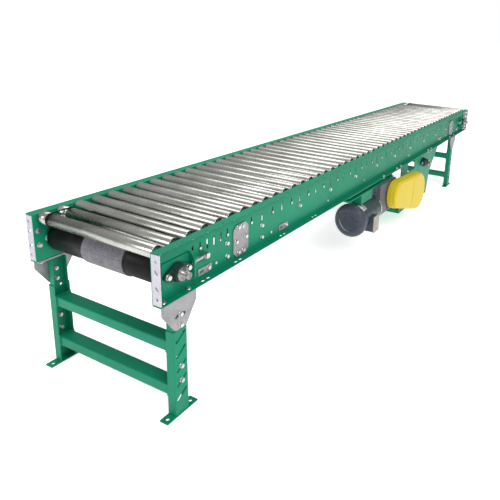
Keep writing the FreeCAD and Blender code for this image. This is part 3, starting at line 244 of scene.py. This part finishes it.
MATERIALS = {
    "green": powder_coat("green_powder_coat",
                         (0.004, 0.225, 0.122), (0.003, 0.190, 0.102), (0.009, 0.265, 0.150)),
    "yellow": powder_coat("yellow_powder_coat",
                          (0.62, 0.47, 0.022), (0.56, 0.41, 0.016), (0.68, 0.53, 0.04)),
    "zinc_sheet": galvanized("galvanized_sheet", (0.22, 0.215, 0.225), (0.34, 0.335, 0.35)),
    "zinc_bright": galvanized("galvanized_bright", (0.42, 0.41, 0.46), (0.55, 0.54, 0.60)),
    "roller": roller_zinc("roller_zinc"),
    "fastener": plated_steel("fastener_zinc", (0.66, 0.65, 0.64), (0.42, 0.41, 0.40)),
    "shaft": plated_steel("turned_steel", (0.36, 0.35, 0.34), (0.17, 0.165, 0.16), 0.30),
    "oiled": plated_steel("oiled_steel", (0.16, 0.15, 0.14), (0.07, 0.065, 0.06), 0.40),
    "belt": belting("belting"),
    "black": lagging("black_lagging"),
    "iron": casting("teal_black_cast_iron", (0.006, 0.022, 0.020), (0.020, 0.060, 0.052), 0.42),
    "plate": plated_steel("blank_nameplate", (0.78, 0.78, 0.80), (0.66, 0.66, 0.68), 0.45),
    "shell": casting("motor_shell_paint", (0.020, 0.040, 0.046), (0.040, 0.068, 0.076), 0.34),
    "motor": casting("motor_paint", (0.034, 0.042, 0.058), (0.066, 0.080, 0.108), 0.40),
    "reducer": casting("reducer_paint", (0.070, 0.072, 0.098), (0.140, 0.142, 0.180), 0.42),
    # this pale paint is also put on the cooling fan as a painted highlight behind the fan cover's grille
    "box": casting("conduit_box_paint_and_fan_highlight", (0.22, 0.20, 0.18), (0.40, 0.375, 0.35), 0.45),
}

NODE_MATERIAL = {
    "end_couplings": "zinc_bright",
    "web_cover_plates": "zinc_sheet",
    "pivot_brackets": "zinc_sheet",
    "anchor_plates": "zinc_sheet",
    "conveyor_belt": "belt",
    "slave_drive_bands": "black",
    "tread_roller_axles": "fastener",
    "belt_roller_axles": "fastener",
    "pressure_rollers": "roller",
    "return_idlers": "roller",
    "snub_roller": "roller",
    "near_end_pulley": "black",
    "far_end_pulley": "black",
    "drive_pulley": "black",
    "take_up_pulley": "shaft",
    "take_up_screws": "fastener",
    "flange_bearings": "iron",
    "motor_housing": "shell",
    "motor_fan_cover": "motor",
    # the cooling fan gets the pale box paint as a painted highlight: it stands in for light reflected
    # off the fan cover's slot edges
    "cooling_fan": "box",
    "motor_rotor": "oiled",
    "motor_register_ring": "fastener",
    "conduit_box": "motor",
    "conduit_box_cover": "box",
    "gear_reducer_housing": "reducer",
    "worm_shaft": "oiled",
    "worm_wheel": "oiled",
    "output_shaft": "oiled",
    "driven_sprocket": "oiled",
    "drive_chain": "oiled",
    "chain_guard_back": "yellow",
    "chain_guard_cover": "yellow",
    "fasteners": "fastener",
}


def is_tread_roller(node):
    return node.startswith("tread_roller") and not node.endswith("axles")


def material_for(node):
    if is_tread_roller(node):
        return MATERIALS["roller"]
    return MATERIALS[NODE_MATERIAL.get(node, "green")]


def paint(obj, material):
    if not obj.material_slots:
        obj.data.materials.append(None)
    for entry in obj.material_slots:
        entry.link = "OBJECT"
        entry.material = material


for node_name, node_object in NODES.items():
    paint(node_object, material_for(node_name))


# ---------------------------------------------------------------- fine rollers
def body_holding(node):
    for body, members in frame["record"]["behaviour"]["bodies"].items():
        if node in members:
            return body
    raise KeyError(node)


def add_object(name, bm, material, body, *stands_for):
    mesh = bpy.data.meshes.new(name)
    bm.to_mesh(mesh)
    bm.free()
    obj = bpy.data.objects.new(name, mesh)
    scene.collection.objects.link(obj)
    mesh.materials.append(material)
    if stands_for:
        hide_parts(*stands_for)
    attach(obj, body)
    return obj


def lathe(bm, profile, centre, segments=56):
    """Turns a closed profile of (y, radius) about the line through centre along Y."""
    rings = []
    for y, radius in profile:
        ring = []
        for k in range(segments):
            a = 2 * math.pi * k / segments
            x = centre.x + radius * math.cos(a)
            z = centre.z + radius * math.sin(a)
            ring.append(bm.verts.new((x, y, z)))
        rings.append(ring)
    for i, ring in enumerate(rings):
        following = rings[(i + 1) % len(rings)]
        for k in range(segments):
            n = (k + 1) % segments
            face = bm.faces.new((ring[k], ring[n], following[n], following[k]))
            face.smooth = True


ROLLER_R = 0.02413
AXLE_BORE_R = 0.0068
BAND_GROOVE_Y = 0.236        # middle of the slave band's groove
LEAST_TUBE_SIZE = 0.035      # smaller loose parts of a roller node are not tubes


def roller_profile(half, groove=None):
    """A tube with rolled end edges and a recessed bearing, with a band groove at y = groove."""
    r = ROLLER_R
    bore = AXLE_BORE_R
    points = [(-half, r - 0.0012), (-half + 0.0004, r - 0.0003), (-half + 0.0013, r)]
    if groove is not None:
        for k in range(7):
            a = math.pi * k / 6
            points.append((groove - 0.0031 * math.cos(a), r - 0.0024 * math.sin(a)))
    points += [(half - 0.0013, r), (half - 0.0004, r - 0.0003), (half, r - 0.0012)]
    end = [(half, r - 0.0024), (half - 0.0015, r - 0.0026), (half - 0.0015, 0.0150),
           (half - 0.0008, 0.0140), (half - 0.0002, 0.0105), (half - 0.0002, bore + 0.0006),
           (half - 0.0008, bore)]
    return points + end + [(-y, radius) for y, radius in reversed(end)]


def solid_boxes(node):
    """(lowest, highest) corner of each separate solid in a CAD node, sorted along X."""
    mesh = NODES[node].data
    bm = bmesh.new()
    bm.from_mesh(mesh)
    bmesh.ops.remove_doubles(bm, verts=bm.verts, dist=1e-6)
    bm.verts.ensure_lookup_table()
    seen = set()
    found = []
    for start in bm.verts:
        if start.index in seen:
            continue
        stack = [start]
        seen.add(start.index)
        low = Vector(start.co)
        high = Vector(start.co)
        while stack:
            vert = stack.pop()
            for k in range(3):
                low[k] = min(low[k], vert.co[k])
                high[k] = max(high[k], vert.co[k])
            for edge in vert.link_edges:
                other = edge.other_vert(vert)
                if other.index not in seen:
                    seen.add(other.index)
                    stack.append(other)
        found.append((low, high))
    bm.free()
    found.sort(key=lambda pair: pair[0].x + pair[1].x)
    return found


def fine_rollers(node, groove_first=0, groove_last=0):
    """Lathed tubes in place of a CAD node's, the first and last few of them grooved for a band."""
    low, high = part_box(node)
    half = (high[1] - low[1]) / 2
    bm = bmesh.new()
    tubes = [pair for pair in solid_boxes(node) if pair[1].x - pair[0].x > LEAST_TUBE_SIZE]
    for i, (a, b) in enumerate(tubes):
        grooved = i < groove_first or i >= len(tubes) - groove_last
        lathe(bm, roller_profile(half, BAND_GROOVE_Y if grooved else None), (a + b) / 2)
    piece = add_object(node + "_fine", bm, MATERIALS["roller"], body_holding(node), node)


for node_name in sorted(NODES):
    if node_name.startswith("tread_rollers_"):
        fine_rollers(node_name, groove_last=2)
    elif is_tread_roller(node_name):
        first_two = node_name in ("tread_roller_01", "tread_roller_02")
        fine_rollers(node_name, groove_first=1 if first_two else 0)
fine_rollers("pressure_rollers")
fine_rollers("return_idlers")


# ---------------------------------------------------------------- fine end pulleys
def fine_end_pulley(node):
    """A black drum with dished ends, and its steel shaft with inner rings and locking collars."""
    low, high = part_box(node)
    centre = (Vector(low) + Vector(high)) / 2
    half = 0.280
    drum = [(-half, 0.0533), (-half, 0.0593), (-half + 0.001, 0.0603), (half - 0.001, 0.0603),
            (half, 0.0593), (half, 0.0533), (half - 0.003, 0.0523), (half - 0.003, 0.0270),
            (half, 0.0264), (half, 0.0129), (-half, 0.0129), (-half, 0.0264), (-half + 0.003, 0.0270),
            (-half + 0.003, 0.0523)]
    body = body_holding(node)
    bm = bmesh.new()
    lathe(bm, drum, centre, 96)
    piece = add_object(node + "_drum", bm, MATERIALS["black"], body, node)
    reach = high[1] - centre.y
    ring = reach - 0.0265
    right = [(reach, 0.0040), (reach, 0.0115), (reach - 0.0012, 0.0127), (ring, 0.0127),
             (ring, 0.0240), (ring - 0.001, 0.0250), (ring - 0.013, 0.0250), (ring - 0.014, 0.0240),
             (ring - 0.0145, 0.0226), (ring - 0.047, 0.0226), (ring - 0.048, 0.0215),
             (ring - 0.048, 0.0127)]
    left = [(-y, radius) for y, radius in reversed(right)]
    bm = bmesh.new()
    lathe(bm, right + left, centre, 64)
    piece = add_object(node + "_shaft", bm, MATERIALS["shaft"], body, node)


for node_name in ("near_end_pulley", "far_end_pulley"):
    fine_end_pulley(node_name)


# ---------------------------------------------------------------- motor nameplate
def motor_nameplate():
    """A blank metal plate bent to the motor's shell, on its upper outer side."""
    low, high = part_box("motor_housing")
    y = (low[1] + high[1]) / 2
    z = (low[2] + high[2]) / 2
    shell = (high[1] - low[1]) / 2
    x0 = low[0] + 0.011
    x1 = x0 + 0.074
    bm = bmesh.new()
    rows = []
    steps = 12
    for radius in (shell + 0.0002, shell + 0.0011):
        row = []
        for i in range(steps + 1):
            a = math.radians(97 + 40 * i / steps)
            for x in (x0, x1):
                row.append(bm.verts.new((x, y + radius * math.cos(a), z + radius * math.sin(a))))
        rows.append(row)
    under, over = rows
    for i in range(steps):
        k = 2 * i
        top = bm.faces.new((over[k], over[k + 1], over[k + 3], over[k + 2]))
        top.smooth = True
        bm.faces.new((under[k], under[k + 2], under[k + 3], under[k + 1]))
        bm.faces.new((under[k], over[k], over[k + 2], under[k + 2]))
        bm.faces.new((under[k + 1], under[k + 3], over[k + 3], over[k + 1]))
    last = 2 * steps
    bm.faces.new((under[0], under[1], over[1], over[0]))
    bm.faces.new((under[last], over[last], over[last + 1], under[last + 1]))
    bmesh.ops.recalc_face_normals(bm, faces=bm.faces)
    piece = add_object("motor_nameplate", bm, MATERIALS["plate"], "conveyor_frame")


motor_nameplate()


# ---------------------------------------------------------------- floor, light and camera
def floor_material():
    s = Shader("pale_floor")
    tone = s.ramp(s.noise(0.6, 3.0), [(0.3, (0.88, 0.88, 0.88)), (0.7, (0.91, 0.91, 0.91))])
    s.set(Base_Color=tone, Roughness=0.9, Specular_IOR_Level=0.1,
          Emission_Color=(1.0, 1.0, 1.0), Emission_Strength=0.62)
    return s.material


def make_floor():
    bm = bmesh.new()
    bmesh.ops.create_grid(bm, x_segments=8, y_segments=8, size=60.0)
    mesh = bpy.data.meshes.new("floor")
    bm.to_mesh(mesh)
    bm.free()
    floor = bpy.data.objects.new("floor", mesh)
    scene.collection.objects.link(floor)
    mesh.materials.append(floor_material())
    floor.location = (0.0, 0.0, -0.0004)


def make_world():
    world = bpy.data.worlds.new("studio")
    world.use_nodes = True
    scene.world = world
    tree = world.node_tree
    tree.nodes.clear()
    out = tree.nodes.new("ShaderNodeOutputWorld")
    coord = tree.nodes.new("ShaderNodeTexCoord")
    split = tree.nodes.new("ShaderNodeSeparateXYZ")
    ramp = tree.nodes.new("ShaderNodeValToRGB")
    ramp.color_ramp.elements[0].position = 0.42
    ramp.color_ramp.elements[0].color = (0.30, 0.30, 0.31, 1.0)
    ramp.color_ramp.elements[1].position = 0.85
    ramp.color_ramp.elements[1].color = (1.0, 1.0, 1.0, 1.0)
    remap = tree.nodes.new("ShaderNodeMapRange")
    remap.inputs["From Min"].default_value = -1.0
    remap.inputs["From Max"].default_value = 1.0
    light = tree.nodes.new("ShaderNodeBackground")
    light.inputs["Strength"].default_value = 0.60
    plain = tree.nodes.new("ShaderNodeBackground")
    plain.inputs["Color"].default_value = (1.0, 1.0, 1.0, 1.0)
    plain.inputs["Strength"].default_value = 1.0
    path = tree.nodes.new("ShaderNodeLightPath")
    mix = tree.nodes.new("ShaderNodeMixShader")
    tree.links.new(coord.outputs["Generated"], split.inputs["Vector"])
    tree.links.new(split.outputs["Z"], remap.inputs["Value"])
    tree.links.new(remap.outputs["Result"], ramp.inputs["Fac"])
    tree.links.new(ramp.outputs["Color"], light.inputs["Color"])
    tree.links.new(path.outputs["Is Camera Ray"], mix.inputs["Fac"])
    tree.links.new(light.outputs["Background"], mix.inputs[1])
    tree.links.new(plain.outputs["Background"], mix.inputs[2])
    tree.links.new(mix.outputs["Shader"], out.inputs["Surface"])


def area_light(name, place, target, size, power):
    data = bpy.data.lights.new(name, "AREA")
    data.shape = "RECTANGLE"
    data.size, data.size_y = size
    data.energy = power
    lamp = bpy.data.objects.new(name, data)
    scene.collection.objects.link(lamp)
    lamp.location = place
    heading = Vector(target) - Vector(place)
    lamp.rotation_euler = heading.to_track_quat("-Z", "Y").to_euler()


def make_camera():
    data = bpy.data.cameras.new("camera")
    data.sensor_width = 36.0
    data.lens = 38.07
    data.shift_x = -0.169
    data.shift_y = -0.164
    data.clip_end = 200.0
    camera = bpy.data.objects.new("camera", data)
    scene.collection.objects.link(camera)
    right = Vector((0.4613, -0.8860, 0.0472))
    up = Vector((0.2091, 0.1603, 0.9647))
    forward = Vector((0.8623, 0.4351, -0.2592))
    turn = Matrix((right, up, -forward)).transposed()
    camera.matrix_world = Matrix.Translation((-2.9150, -1.4893, 1.3615)) @ turn.to_4x4()
    scene.camera = camera


make_floor()
make_world()
area_light("key_light", (-3.0, -4.2, 4.2), (0.2, 0.0, 0.4), (3.0, 2.2), 185.0)
area_light("top_light", (0.8, 0.6, 4.0), (0.2, 0.0, 0.6), (5.0, 2.4), 100.0)
area_light("end_light", (-5.3, 1.5, 2.2), (-1.4, 0.0, 0.5), (1.6, 1.6), 45.0)
make_camera()
scene.view_settings.view_transform = "Standard"
scene.view_settings.look = "None"
